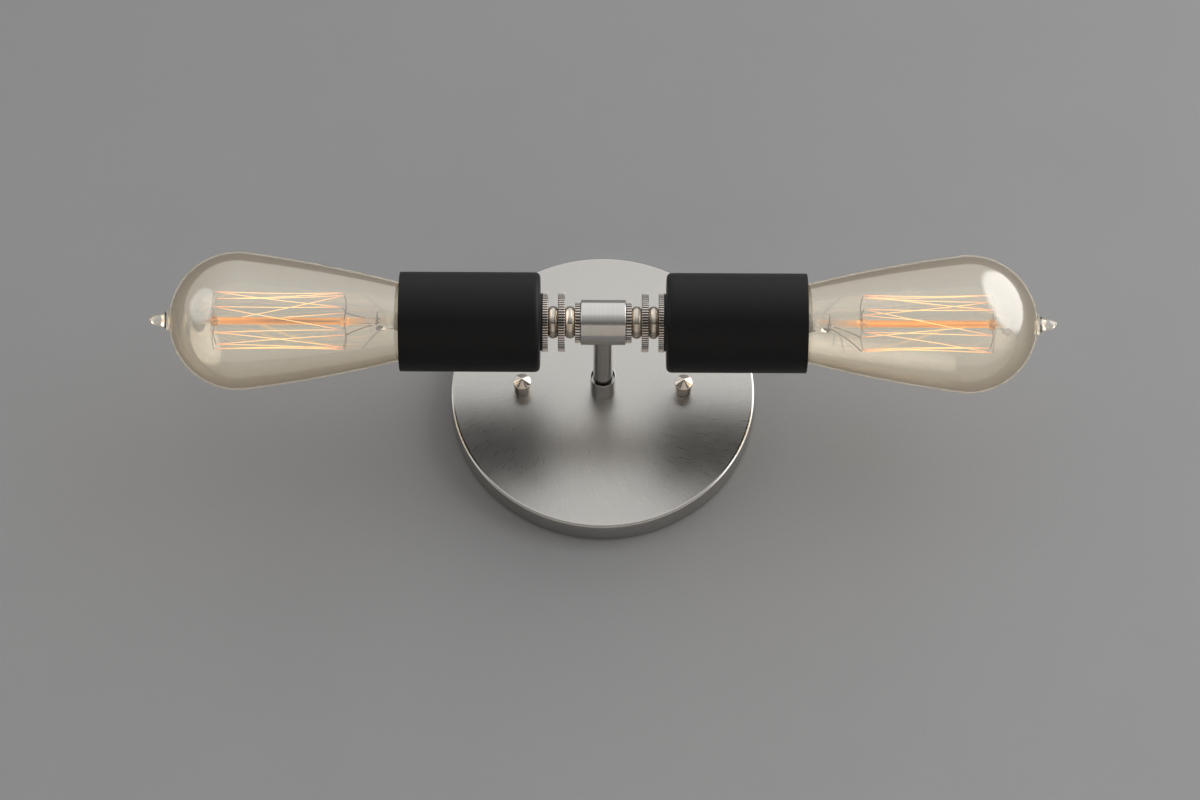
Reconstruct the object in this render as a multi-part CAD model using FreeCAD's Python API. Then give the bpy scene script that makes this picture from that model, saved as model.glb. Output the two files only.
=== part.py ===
"""Industrial pipe wall light: a round canopy, a stem, a tee and two socket cups with squirrel-cage bulbs.

Millimetres. +Z is up, +X runs along the lamps to the right, the wall is the plane y = 0 and the
light stands out from it towards -Y. The origin is the centre of the canopy's back rim.
Each arm is made along +X from the tee's centre, then set in place or turned about the stem to the left.
"""
import FreeCAD, Part
import math
import os
from FreeCAD import Vector

touch = 0.01                  # two places closer than this are the same

# Canopy: a stamped pan over the outlet box
canopyRadius = 66.0
canopyDepth = 12.7
canopyWall = 1.0
canopyEdgeRound = 1.2
cleatPitch = 69.85            # between the two cap nuts
studHoleRadius = 2.3

# Strap, studs and their nuts behind the canopy
strapWidth = 19.0
strapThick = 1.5
boxScrewPitch = 88.9          # octagon outlet box
slotLength = 12.0
slotHalfWidth = 2.4
slotEndMargin = 1.55          # from a slot to the strap's end
strapCentreRadius = 5.5
studRadius = 2.08
studPastFace = 6.0
studFit = 0.12
jamNutFlats = 8.7
jamNutThick = 3.0
groundScrewPlace = 20.0
groundScrewFlats = 7.9
groundHeadThick = 2.2
groundShankRadius = 2.0

# Cap nuts
capFootRadius = 3.5
capFootHeight = 4.6
capGrooveRadius = 3.1
capGrooveHeight = 0.6
capHeadRadius = 3.9
capHeadHeight = 1.8
capConeHeight = 2.3
capTipRadius = 0.7
capBoreDepth = 6.6

# Pipe thread used for the nipples, and the stem
pipeRadius = 4.86
pipeFit = 0.24                # from a nipple to the hole that it passes through
stemRadius = 4.2
stemBore = 2.8
stemHoleFit = 0.2
stemFootLength = 4.0
nippleBehind = 4.7            # below the inner face of the canopy
nippleAhead = 6.3             # ahead of the outer face of the canopy
stemWasherRadius = 8.0
stemWasherThick = 0.8
pipeNutFlats = 14.3
pipeNutThick = 3.0
collarRadius = 5.5
collarBore = 5.1
collarLength = 12.7

# Tee and arms
lampReach = 61.0              # from the canopy's face to the lamps' axis
teeRadius = 9.525
teeLength = 19.0
teeChamfer = 0.6
stemGapInTee = 0.85           # from the arm bore to the end of the stem
armBore = 3.3
armStart = 4.5
smallNutRadius = 8.75
smallNutWidth = 2.4
smallNutTeeth = 40
beadRadius = 6.9
beadWidth = 4.2
beadEndRadius = 5.7
innerNutWidth = 2.9
outerNutWidth = 2.6
knurledNutRadius = 12.5
knurledNutTeeth = 68
toothDepth = 0.45
nutChamfer = 0.45
cupWasherThick = 0.7

# Socket cup and the socket inside it
cupRadius = 21.0
cupLength = 59.0
cupWall = 1.2
cupEndRound = 2.2
cupRimRound = 0.4
socketRadius = 17.8
socketCapThick = 3.5
nippleInCap = 0.5
chamberDepth = 7.0
chamberRadius = 13.0
socketFloor = 3.0
wellRadius = 14.2
wellDepth = 29.5
rivetRadius = 1.7
rivetFit = 0.15
contactPlateRadius = 4.5
contactPlateThick = 0.5
contactDomeRadius = 2.6
contactSeat = 1.3             # from the well's floor to the bulb's contact
terminalPlace = 7.0
terminalHeadRadius = 2.9
terminalHeadThick = 2.0
terminalShankRadius = 1.3

# Edison thread: a circle carried along a fine helix, the bulb's inside the socket's
threadPitch = 3.629
threadOffset = 0.35
bulbThreadRadius = 12.7
threadFit = 0.25
shellWall = 0.35
bulbShellWall = 0.3
shellLength = 21.0
shellBottom = 0.5
shellBottomBore = 6.5

# Bulb
contactButtonRadius = 4.6
contactButtonThick = 1.2
insulatorHeight = 3.9
insulatorTopRadius = 11.7
bulbThreadLength = 15.0
skirtLength = 6.8
skirtRadius = 13.0
skirtWall = 0.35
shoulderProud = 0.1            # of the shell's shoulder past the thread
glassWall = 0.8
neckRadius = 12.3
neckInsert = 3.3
glassFootRadius = 13.5
glassFootPast = 1.2
domeRadius = 29.2
domeCentre = 153.6            # from the tee's centre
shoulderAngle = 7.5           # how far back the dome runs before the long taper
domeMiddleAngle = 50.0        # of the point between the dome's two ends
tipFootRadius = 5.4
tipWaistRadius = 2.4
tipWaistPlace = 3.8           # past the dome's end
tipHollow = 0.3               # how far the tip's cone is drawn in
tipLength = 8.2
tipEndRadius = 1.2

# Inside the glass
flareRimThick = 0.5
flareWall = 0.8
flareStep = 0.3               # how far the flare's start is set in from the envelope
pinchRadius = 3.6
pinchStart = 84.0
pinchEnd = 95.5
postRadius = 1.5
innerHubPlace = 109.0
outerHubPlace = 163.5
hubRadius = 2.2
hubHalf = 1.5
cageRadius = 12.4
outerHooks = 7
hookWire = 0.22
leadWire = 0.3
filamentWire = 0.16
filamentEye = 0.34

# Leads and connectors
leadRadius = 0.75
leadOffset = 1.2
leadBend = 3.0
terminalBend = 1.5
leadPlane = 3.4               # in front of the wall, where the leads cross the strap
leadCavityBend = 2.5
connectorMouth = 20.0
connectorLength = 17.0
connectorRadius = 5.0
connectorBore = 4.1
connectorAxis = 6.2           # in front of the wall
connectorTipRadius = 3.4
connectorBoreDepth = 11.0
leadInConnector = 8.0

# Places that follow from the sizes above
strapLength = boxScrewPitch + slotLength + 2 * slotEndMargin
faceY = -canopyDepth
innerFaceY = faceY + canopyWall
lampY = faceY - lampReach
teeHalf = teeLength / 2
pipeHole = pipeRadius + pipeFit
smallNutStart = teeHalf
innerBeadStart = smallNutStart + smallNutWidth
innerNutStart = innerBeadStart + beadWidth
outerBeadStart = innerNutStart + innerNutWidth
outerNutStart = outerBeadStart + beadWidth
washerStart = outerNutStart + outerNutWidth
cupStart = washerStart + cupWasherThick
cupEnd = cupStart + cupLength
lockNutStart = cupStart + cupWall
socketCapStart = lockNutStart + pipeNutThick
socketStart = socketCapStart + socketCapThick
floorStart = socketStart + chamberDepth
wellStart = floorStart + socketFloor
armEnd = socketStart + nippleInCap
bulbStart = wellStart + contactSeat
insulatorStart = bulbStart + contactButtonThick
bulbThreadStart = insulatorStart + insulatorHeight
skirtStart = bulbThreadStart + bulbThreadLength
skirtEnd = skirtStart + skirtLength
glassStart = skirtEnd - neckInsert

alongX = Vector(1, 0, 0)
alongY = Vector(0, 1, 0)
outward = Vector(0, -1, 0)


def rod(radius, start, end):
    """A cylinder along X between two stations."""
    return Part.makeCylinder(radius, end - start, Vector(start, 0, 0), alongX)


def tube(radius, bore, start, end):
    return rod(radius, start, end).cut(rod(bore, start - 1, end + 1))


def turned(edges):
    """A solid of revolution about X from edges that close in the XY half plane."""
    face = Part.Face(Part.Wire(edges))
    return face.revolve(Vector(0, 0, 0), alongX, 360)


def path(points):
    """Straight edges through (station, radius) points, closed back to the first."""
    corners = [Vector(x, r, 0) for x, r in points]
    return [Part.LineSegment(a, b).toShape() for a, b in zip(corners, corners[1:] + corners[:1])]


def standing(shape):
    """Turns a shape made along +X so that it stands out from the wall along -Y."""
    turnedShape = shape.copy()
    turnedShape.rotate(Vector(0, 0, 0), Vector(0, 0, 1), -90)
    return turnedShape


def hexNut(flats, thick, bore, start):
    """A hexagon nut along X with its corners chamfered."""
    corner = flats / math.sqrt(3)
    ring = [Vector(start, corner * math.cos(math.radians(a)), corner * math.sin(math.radians(a)))
            for a in range(0, 361, 60)]
    prism = Part.Face(Part.makePolygon(ring)).extrude(Vector(thick, 0, 0))
    end = start + thick
    bevel = corner - flats / 2
    blank = turned(path([(start, 0), (start, flats / 2), (start + bevel, corner + touch),
                         (end - bevel, corner + touch), (end, flats / 2), (end, 0)]))
    return prism.common(blank).cut(rod(bore, start - 1, start + thick + 1))


def knurledNut(radius, width, teeth, start):
    """A thin round nut whose edge has straight teeth along its axis."""
    ring = []
    for i in range(2 * teeth + 1):
        angle = math.pi * i / teeth
        reach = radius if i % 2 == 0 else radius - toothDepth
        ring.append(Vector(start, reach * math.cos(angle), reach * math.sin(angle)))
    prism = Part.Face(Part.makePolygon(ring)).extrude(Vector(width, 0, 0))
    end = start + width
    edge = radius - nutChamfer
    blank = turned(path([(start, pipeHole), (start, edge), (start + nutChamfer, radius + touch),
                         (end - nutChamfer, radius + touch), (end, edge), (end, pipeHole)]))
    return prism.common(blank)


def rounded(shape, radius, chosen):
    """Rounds the edges that the test picks."""
    return shape.makeFillet(radius, [edge for edge in shape.Edges if chosen(edge)])


def threadSweep(radius, start, end):
    """A rod whose section, a circle off centre, is carried round a fine helix without turning.
    The helix's turn is counted from x = 0, so sweeps at any stations are in mesh."""
    helix = Part.makeHelix(threadPitch, end - start, threadOffset)
    helix.rotate(Vector(0, 0, 0), alongY, 90)
    helix.rotate(Vector(0, 0, 0), alongX, 360 * start / threadPitch)
    helix.translate(Vector(start, 0, 0))
    foot = helix.Edges[0].Vertexes[0].Point
    section = Part.Wire(Part.makeCircle(radius, foot, alongX))
    sweep = Part.BRepOffsetAPI.MakePipeShell(Part.Wire(helix.Edges))
    sweep.setTrihedronMode(foot, alongX)
    sweep.add(section)
    sweep.build()
    sweep.makeSolid()
    return sweep.shape()


def threadedCan(radius, wall, bottom, bore, start, end):
    """A rolled-thread shell with a flat bottom and a round hole in it."""
    shell = threadSweep(radius, start, end).cut(threadSweep(radius - wall, start + bottom, end + wall))
    return shell.cut(rod(bore, start - 1, start + bottom + 1))


def wire(a, b, radius):
    return Part.makeCylinder(radius, (b - a).Length, a, b - a)


# Canopy, strap and stem

def canopy():
    pan = Part.makeCylinder(canopyRadius, canopyDepth, Vector(0, 0, 0), outward)
    pan = rounded(pan, canopyEdgeRound, lambda e: abs(e.CenterOfMass.y - faceY) < touch)
    pan = pan.cut(Part.makeCylinder(canopyRadius - canopyWall, -innerFaceY, Vector(0, 0, 0), outward))
    holes = [(0, pipeHole)] + [(side * cleatPitch / 2, studHoleRadius) for side in (-1, 1)]
    for x, radius in holes:
        behind = Vector(x, innerFaceY + canopyWall, 0)
        pan = pan.cut(Part.makeCylinder(radius, 3 * canopyWall, behind, outward))
    return pan


def slot(centre):
    """The cutter for one slot along X through the strap."""
    half = slotLength / 2 - slotHalfWidth
    places = [Vector(centre + side * half, strapThick, 0) for side in (-1, 1)]
    ends = [Part.makeCylinder(slotHalfWidth, 3 * strapThick, place, outward) for place in places]
    bar = Part.makeBox(2 * half, 3 * strapThick, 2 * slotHalfWidth,
                       Vector(centre - half, -2 * strapThick, -slotHalfWidth))
    return bar.fuse(ends).removeSplitter()


def mountingStrap():
    bar = Part.makeBox(strapLength, strapThick, strapWidth,
                       Vector(-strapLength / 2, -strapThick, -strapWidth / 2))
    bar = rounded(bar, strapWidth / 4, lambda e: abs(e.Length - strapThick) < touch)
    holes = [(0, strapCentreRadius), (groundScrewPlace, groundShankRadius + studFit)]
    holes += [(side * cleatPitch / 2, studRadius + studFit) for side in (-1, 1)]
    for place, radius in holes:
        bar = bar.cut(Part.makeCylinder(radius, 3 * strapThick, Vector(place, strapThick, 0), outward))
    for side in (-1, 1):
        bar = bar.cut(slot(side * boxScrewPitch / 2))
    return bar


def atStuds(shape):
    """One copy of a standing piece on each stud."""
    copies = []
    for side in (-1, 1):
        copy = shape.copy()
        copy.translate(Vector(side * cleatPitch / 2, 0, 0))
        copies.append(copy)
    return Part.makeCompound(copies)


def strapStuds():
    end = canopyDepth + studPastFace
    chamfer = studRadius / 5
    profile = [(0, 0), (0, studRadius), (end - chamfer, studRadius), (end, studRadius - chamfer), (end, 0)]
    return atStuds(standing(turned(path(profile))))


def studJamNuts():
    return atStuds(standing(hexNut(jamNutFlats, jamNutThick, studRadius + studFit, strapThick)))


def groundScrew():
    head = hexNut(groundScrewFlats, groundHeadThick, groundShankRadius / 4, strapThick)
    head = head.fuse(rod(groundShankRadius, 0, strapThick + groundHeadThick / 2)).removeSplitter()
    screw = standing(head)
    screw.translate(Vector(groundScrewPlace, 0, 0))
    return screw


def capNuts():
    foot = canopyDepth
    groove = foot + capFootHeight
    head = groove + capGrooveHeight
    cone = head + capHeadHeight
    tip = cone + capConeHeight
    bore = studRadius + studFit
    profile = [(foot, bore), (foot, capFootRadius), (groove, capFootRadius), (groove, capGrooveRadius),
               (head, capGrooveRadius), (head, capHeadRadius), (cone, capHeadRadius),
               (tip, capTipRadius), (tip, 0), (foot + capBoreDepth, 0), (foot + capBoreDepth, bore)]
    return atStuds(standing(turned(path(profile))))


def canopyNipple():
    return standing(tube(pipeRadius, stemBore, canopyDepth - canopyWall - nippleBehind,
                         canopyDepth + nippleAhead))


def nippleLockWasher():
    back = canopyDepth - canopyWall - stemWasherThick
    return standing(tube(stemWasherRadius, pipeHole, back, back + stemWasherThick))


def nippleHexNut():
    back = canopyDepth - canopyWall - stemWasherThick - pipeNutThick
    return standing(hexNut(pipeNutFlats, pipeNutThick, pipeHole, back))


def stemCollar():
    top = canopyDepth + collarLength
    lip = (collarRadius - collarBore) / 3
    return standing(turned(path([(canopyDepth, collarBore), (canopyDepth, collarRadius),
                                 (top - lip, collarRadius), (top, collarRadius - lip),
                                 (top, collarBore + lip), (top - lip, collarBore)])))


def stemTube():
    foot = canopyDepth + nippleAhead
    top = canopyDepth + lampReach - pipeHole - stemGapInTee
    body = rod(stemRadius, foot, top).fuse(rod(pipeRadius, foot, foot + stemFootLength))
    return standing(body.removeSplitter().cut(rod(stemBore, foot - 1, top + 1)))


def teeBody():
    outline = [(-teeHalf, 0), (-teeHalf, teeRadius - teeChamfer), (-teeHalf + teeChamfer, teeRadius),
               (teeHalf - teeChamfer, teeRadius), (teeHalf, teeRadius - teeChamfer), (teeHalf, 0)]
    body = turned(path(outline)).cut(rod(pipeHole, -teeHalf - 1, teeHalf + 1))
    body = body.cut(Part.makeCylinder(stemRadius + stemHoleFit, teeRadius + 1, Vector(0, 0, 0), alongY))
    body.translate(Vector(0, lampY, 0))
    return body


# One arm, along +X from the tee's centre

def armNipple():
    return tube(pipeRadius, armBore, armStart, armEnd)


def bead(start):
    """A turned bead with a full round between two flat ends."""
    end = start + beadWidth
    crown = Part.Arc(Vector(start, beadEndRadius, 0), Vector(start + beadWidth / 2, beadRadius, 0),
                     Vector(end, beadEndRadius, 0)).toShape()
    sides = [Part.LineSegment(Vector(*a, 0), Vector(*b, 0)).toShape() for a, b in
             (((end, beadEndRadius), (end, pipeHole)), ((end, pipeHole), (start, pipeHole)),
              ((start, pipeHole), (start, beadEndRadius)))]
    return turned([crown] + sides)


def socketCup():
    shell = rod(cupRadius, cupStart, cupEnd)
    shell = rounded(shell, cupEndRound, lambda e: abs(e.CenterOfMass.x - cupStart) < touch)
    shell = shell.cut(rod(cupRadius - cupWall, cupStart + cupWall, cupEnd + 1))
    shell = shell.cut(rod(pipeHole, cupStart - 1, cupStart + cupWall + 1))
    rimLength = 2 * math.pi * cupRadius
    return rounded(shell, cupRimRound, lambda e: abs(e.CenterOfMass.x - cupEnd) < touch
                   and abs(e.Length - rimLength) < touch)


def socketCap():
    return tube(socketRadius, pipeHole, socketCapStart, socketStart)


def socketBody():
    body = rod(socketRadius, socketStart, wellStart + wellDepth)
    body = body.cut(rod(chamberRadius, socketStart - 1, floorStart))
    body = body.cut(rod(wellRadius, wellStart, wellStart + wellDepth + 1))
    body = body.cut(rod(rivetRadius + rivetFit, floorStart - 1, wellStart + 1))
    for side in (-1, 1):
        hole = rod(terminalShankRadius + rivetFit, floorStart - 1, wellStart + 1)
        hole.translate(Vector(0, 0, side * terminalPlace))
        body = body.cut(hole)
    return rounded(body, socketFloor / 4, lambda e: abs(e.CenterOfMass.x - wellStart - wellDepth) < touch)


def screwShell():
    radius = bulbThreadRadius + threadFit + shellWall
    return threadedCan(radius, shellWall, shellBottom, shellBottomBore, wellStart, wellStart + shellLength)


def centreContact():
    plate = rod(contactPlateRadius, wellStart, wellStart + contactPlateThick)
    rivet = rod(rivetRadius, floorStart, wellStart + contactPlateThick / 2)
    foot = wellStart + contactPlateThick / 2
    top = wellStart + contactSeat
    dome = turned(path([(foot, 0), (foot, contactDomeRadius), (top, contactDomeRadius / 2), (top, 0)]))
    return plate.fuse([rivet, dome]).removeSplitter()


def terminalScrews():
    """A screw head and shank behind the socket's floor for each pole."""
    screws = []
    for side in (-1, 1):
        head = rod(terminalHeadRadius, floorStart - terminalHeadThick, floorStart)
        shank = rod(terminalShankRadius, floorStart - terminalHeadThick / 2, wellStart)
        screw = head.fuse(shank).removeSplitter()
        screw.translate(Vector(0, 0, side * terminalPlace))
        screws.append(screw)
    return Part.makeCompound(screws)


def bulbContact():
    edge = contactButtonThick / 3
    return turned(path([(bulbStart, 0), (bulbStart, contactButtonRadius - edge),
                        (bulbStart + edge, contactButtonRadius), (insulatorStart, contactButtonRadius),
                        (insulatorStart, 0)]))


def bulbInsulator():
    return turned(path([(insulatorStart, 0), (insulatorStart, contactButtonRadius),
                        (bulbThreadStart, insulatorTopRadius), (bulbThreadStart, 0)]))


def bulbShell():
    """The rolled thread, closed towards the insulator, with a plain skirt for the glass."""
    shell = threadedCan(bulbThreadRadius, bulbShellWall, bulbShellWall, insulatorTopRadius / 2,
                        bulbThreadStart, skirtStart)
    crest = bulbThreadRadius + threadOffset
    root = bulbThreadRadius - threadOffset - bulbShellWall
    shoulder = tube(crest + shoulderProud, root - shoulderProud, skirtStart, skirtStart + bulbShellWall)
    skirt = tube(skirtRadius, skirtRadius - skirtWall, skirtStart + bulbShellWall, skirtEnd)
    return shell.fuse([shoulder, skirt])


def glassArcs(inset):
    """Neck-to-dome outline set in by a distance: a long arc tangent to the dome's circle, then the dome.
    The long arc's radius follows from the two points that it joins."""
    theta = math.radians(shoulderAngle)
    away = Vector(-math.sin(theta), math.cos(theta), 0)
    centre = Vector(domeCentre, 0, 0)
    foot = Vector(skirtEnd + glassFootPast, glassFootRadius, 0)
    gap = foot - centre - away * domeRadius
    longRadius = -gap.dot(gap) / (2 * gap.dot(away))
    longCentre = centre + away * (domeRadius - longRadius)
    first = (foot - longCentre).normalize()
    between = (first + away).normalize()
    taper = [longCentre + way * (longRadius - inset) for way in (first, between, away)]
    return taper, centre


def bulbGlass():
    """Outer and inner outlines share their centres, so the wall is even; the sealed tip is solid."""
    outer, centre = glassArcs(0)
    inner, _ = glassArcs(glassWall)
    domeEnd = Vector(domeCentre + math.sqrt(domeRadius ** 2 - tipFootRadius ** 2), tipFootRadius, 0)
    angle = math.radians(domeMiddleAngle)
    middleWay = Vector(math.cos(angle), math.sin(angle), 0)
    domeMiddle = centre + middleWay * domeRadius
    waist = Vector(domeCentre + domeRadius + tipWaistPlace, tipWaistRadius, 0)
    inwards = Vector(tipWaistRadius - tipFootRadius, domeEnd.x - waist.x, 0).normalize()
    hollow = (domeEnd + waist) / 2 + inwards * tipHollow
    tip = Vector(domeCentre + domeRadius + tipLength, 0, 0)
    tipSide = Vector(tip.x - tipEndRadius, tipEndRadius, 0)
    tipRound = tip + Vector(math.sqrt(0.5) - 1, math.sqrt(0.5), 0) * tipEndRadius
    innerTop = Vector(domeCentre + domeRadius - glassWall, 0, 0)
    innerMiddle = centre + middleWay * (domeRadius - glassWall)
    neck = [Vector(x, neckRadius, 0) for x in (glassStart, skirtEnd)]
    innerNeck = [Vector(x, neckRadius - glassWall, 0) for x in (glassStart, skirtEnd)]
    edges = [Part.LineSegment(innerNeck[0], neck[0]), Part.LineSegment(*neck),
             Part.LineSegment(neck[1], outer[0]), Part.Arc(*outer),
             Part.Arc(outer[2], domeMiddle, domeEnd), Part.Arc(domeEnd, hollow, waist),
             Part.LineSegment(waist, tipSide), Part.Arc(tipSide, tipRound, tip),
             Part.LineSegment(tip, innerTop), Part.Arc(innerTop, innerMiddle, inner[2]),
             Part.Arc(inner[2], inner[1], inner[0]), Part.LineSegment(inner[0], innerNeck[1]),
             Part.LineSegment(innerNeck[1], innerNeck[0])]
    return turned([edge.toShape() for edge in edges])


def bulbStem():
    """Flared glass foot at the neck, narrowing to the pinch, with the centre post and its two hubs."""
    rim = glassStart - flareRimThick
    foot = neckRadius - glassWall
    outline = [(rim, foot - flareWall), (rim, neckRadius), (glassStart, neckRadius),
               (glassStart, foot - flareStep), (glassStart + flareWall, foot - 2 * flareStep),
               (pinchStart, pinchRadius), (pinchEnd, pinchRadius), (pinchEnd, postRadius)]
    for hub in (innerHubPlace, outerHubPlace):
        outline += [(hub - hubHalf, postRadius), (hub - hubHalf, hubRadius), (hub + hubHalf, hubRadius),
                    (hub + hubHalf, postRadius)]
    outline[-1] = (outerHubPlace + hubHalf, 0)
    outline += [(pinchStart, 0), (pinchStart, pinchRadius - flareWall)]
    return turned(path(outline))


def cageRing(place, count, turn):
    """Points on the cage's circle at one station."""
    steps = [2 * math.pi * (i + turn) / count for i in range(count)]
    return [Vector(place, cageRadius * math.cos(a), cageRadius * math.sin(a)) for a in steps]


def cagePoints():
    """The filament's turning points: the outer hooks, then a lead end, the inner hooks and the other end."""
    outer = cageRing(outerHubPlace, outerHooks, 0.5)
    inner = cageRing(innerHubPlace, outerHooks + 1, 0)
    return outer, inner


def bulbSupports():
    """Hooks from both hubs to the cage, and the two lead wires from the pinch."""
    outer, inner = cagePoints()
    hubOuter = Vector(outerHubPlace, 0, 0)
    hubInner = Vector(innerHubPlace, 0, 0)
    pieces = []
    for hub, points in ((hubOuter, outer), (hubInner, inner[1:-1])):
        for point in points:
            way = (point - hub).normalize()
            pieces.append(wire(hub + way * hubRadius, point, hookWire))
    for end in (inner[0], inner[-1]):
        root = Vector(pinchEnd, end.y * pinchRadius / 2 / cageRadius, end.z * pinchRadius / 2 / cageRadius)
        pieces.append(wire(root, end, leadWire))
    return Part.makeCompound(pieces)


def bulbFilament():
    """One wire that zigzags between the hooks, with an eye at each turn."""
    outer, inner = cagePoints()
    stops = [inner[0]]
    for far, near in zip(outer, inner[1:]):
        stops += [far, near]
    strands = [wire(a, b, filamentWire) for a, b in zip(stops, stops[1:])]
    eyes = [Part.makeSphere(filamentEye, point) for point in stops]
    return strands[0].multiFuse(strands[1:] + eyes)


# Wiring

def bentWire(points, bends):
    """A lead along straight runs joined by tangent arcs, with a bend radius for each corner."""
    edges = []
    last = points[0]
    for before, corner, after, bend in zip(points, points[1:], points[2:], bends):
        inWay = (corner - before).normalize()
        outWay = (after - corner).normalize()
        half = inWay.getAngle(outWay) / 2
        start = corner - inWay * bend * math.tan(half)
        end = corner + outWay * bend * math.tan(half)
        middle = corner + (outWay - inWay).normalize() * bend * (1 / math.cos(half) - 1)
        edges += [Part.LineSegment(last, start).toShape(), Part.Arc(start, middle, end).toShape()]
        last = end
    edges.append(Part.LineSegment(last, points[-1]).toShape())
    section = Part.Wire(Part.makeCircle(leadRadius, points[0], points[1] - points[0]))
    return Part.Wire(edges).makePipeShell([section], True, False)


def socketLead(side, up):
    """A lead from its terminal screw, through the arm, the tee and the stem, to its connector."""
    z = up * leadOffset
    x = side * leadOffset
    terminal = side * (floorStart - terminalHeadThick - leadRadius)
    points = [Vector(terminal, lampY, up * terminalPlace), Vector(side * (armEnd + leadRadius), lampY, z),
              Vector(x, lampY, z), Vector(x, -leadPlane, z),
              Vector(x, -leadPlane, up * (connectorMouth + leadInConnector))]
    return bentWire(points, [terminalBend, leadBend, leadCavityBend])


def wireConnectors():
    """A twist-on connector above and below the stem, each over the ends of two leads."""
    end = connectorMouth + connectorLength
    boreEnd = connectorMouth + connectorBoreDepth
    profile = [(connectorMouth, connectorBore), (connectorMouth, connectorRadius),
               (connectorMouth + connectorLength / 4, connectorRadius), (end, connectorTipRadius), (end, 0),
               (boreEnd + connectorBore / 2, 0), (boreEnd, connectorBore)]
    pieces = []
    for turn in (-90, 90):
        cone = turned(path(profile))
        cone.rotate(Vector(0, 0, 0), alongY, turn)
        cone.translate(Vector(0, -connectorAxis, 0))
        pieces.append(cone)
    return Part.makeCompound(pieces)


def placed(shape, side):
    """Sets an arm's piece on the lamps' axis, turned half round the stem for the left side."""
    copy = shape.copy()
    if side < 0:
        copy.rotate(Vector(0, 0, 0), alongY, 180)
    copy.translate(Vector(0, lampY, 0))
    return copy


def bodyNodes():
    return {
        "canopy": canopy(), "mounting_strap": mountingStrap(), "strap_studs": strapStuds(),
        "stud_jam_nuts": studJamNuts(), "ground_screw": groundScrew(), "cap_nuts": capNuts(),
        "canopy_nipple": canopyNipple(), "nipple_lock_washer": nippleLockWasher(),
        "nipple_hex_nut": nippleHexNut(), "stem_collar": stemCollar(), "stem_tube": stemTube(),
        "tee_body": teeBody(), "wire_connectors": wireConnectors(),
    }


def armNodes():
    return {
        "arm_nipple": armNipple(),
        "small_knurled_nut": knurledNut(smallNutRadius, smallNutWidth, smallNutTeeth, smallNutStart),
        "inner_bead": bead(innerBeadStart),
        "inner_knurled_nut": knurledNut(knurledNutRadius, innerNutWidth, knurledNutTeeth, innerNutStart),
        "outer_bead": bead(outerBeadStart),
        "outer_knurled_nut": knurledNut(knurledNutRadius, outerNutWidth, knurledNutTeeth, outerNutStart),
        "cup_washer": tube(knurledNutRadius - toothDepth, pipeHole, washerStart, cupStart),
        "socket_cup": socketCup(),
        "cup_lock_nut": hexNut(pipeNutFlats, pipeNutThick, pipeHole, lockNutStart),
        "socket_cap": socketCap(), "socket_body": socketBody(), "screw_shell": screwShell(),
        "centre_contact": centreContact(), "terminal_screws": terminalScrews(),
        "bulb_contact": bulbContact(), "bulb_insulator": bulbInsulator(), "bulb_shell": bulbShell(),
        "bulb_glass": bulbGlass(), "bulb_stem": bulbStem(), "bulb_supports": bulbSupports(),
        "bulb_filament": bulbFilament(),
    }


def main():
    nodes = bodyNodes()
    for name, shape in armNodes().items():
        nodes[name + "_right"] = placed(shape, 1)
        nodes[name + "_left"] = placed(shape, -1)
    for side, word in ((1, "right"), (-1, "left")):
        nodes["hot_lead_" + word] = socketLead(side, 1)
        nodes["neutral_lead_" + word] = socketLead(side, -1)
    os.makedirs("parts", exist_ok=True)
    for name, shape in nodes.items():
        shape.exportStep("parts/" + name + ".step")
        print(name, len(shape.Solids), round(shape.Volume, 2), shape.isValid())


main()
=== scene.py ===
import bpy
import bmesh
import math
import numpy as np
from mathutils import Matrix, Vector


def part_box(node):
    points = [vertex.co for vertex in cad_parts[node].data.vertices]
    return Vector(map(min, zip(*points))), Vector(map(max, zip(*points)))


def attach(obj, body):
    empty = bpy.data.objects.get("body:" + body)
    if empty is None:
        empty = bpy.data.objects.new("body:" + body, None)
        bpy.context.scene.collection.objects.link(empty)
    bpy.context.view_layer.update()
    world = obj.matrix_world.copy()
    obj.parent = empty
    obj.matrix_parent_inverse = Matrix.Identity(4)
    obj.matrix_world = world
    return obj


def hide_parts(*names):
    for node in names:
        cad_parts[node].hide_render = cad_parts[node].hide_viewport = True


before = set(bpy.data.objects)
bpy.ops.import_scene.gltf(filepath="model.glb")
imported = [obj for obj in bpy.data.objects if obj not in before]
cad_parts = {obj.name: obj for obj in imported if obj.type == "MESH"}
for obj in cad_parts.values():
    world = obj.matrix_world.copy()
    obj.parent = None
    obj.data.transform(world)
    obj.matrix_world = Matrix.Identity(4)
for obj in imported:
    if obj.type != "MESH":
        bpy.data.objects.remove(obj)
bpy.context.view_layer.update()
mm = 0.001
sides = {"right": 1, "left": -1}
fixtureBody = "fixture"
print("frame loaded:", len(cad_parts), "nodes")


# A node's lowest and highest corners at rest, in millimetres
def nodeBox(node):
    low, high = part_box(node)
    return np.array(low) / mm, np.array(high) / mm


# First and last station of an arm's piece, and its radius, read from the right-hand one
def armSpan(node):
    low, high = nodeBox(node + "_right")
    return low[0], high[0], (high[2] - low[2]) / 2


# How far a piece on the wall's axis starts and ends in front of the wall, and its radius
def standSpan(node):
    low, high = nodeBox(node)
    return -high[1], -low[1], (high[2] - low[2]) / 2


lampY = float(np.mean([corner[1] for corner in nodeBox("tee_body")]))
canopyBack, canopyFace, canopyRadius = standSpan("canopy")
armBore = 5.1  # of every piece that the arm's nipple passes through, in millimetres

outlineSizes = {
    "arcSteps": 6,        # points round a corner
    "hold": 0.35,         # how much farther out than the rounding its outer points lie
    "cornerShare": 0.48,  # most of a side that a rounding may take
    "holdShare": 0.49,    # and that its outer point may take
}


# Angles of points evenly spaced round a circle
def roundAngles(steps):
    return np.arange(steps) * 2 * math.pi / steps


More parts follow.
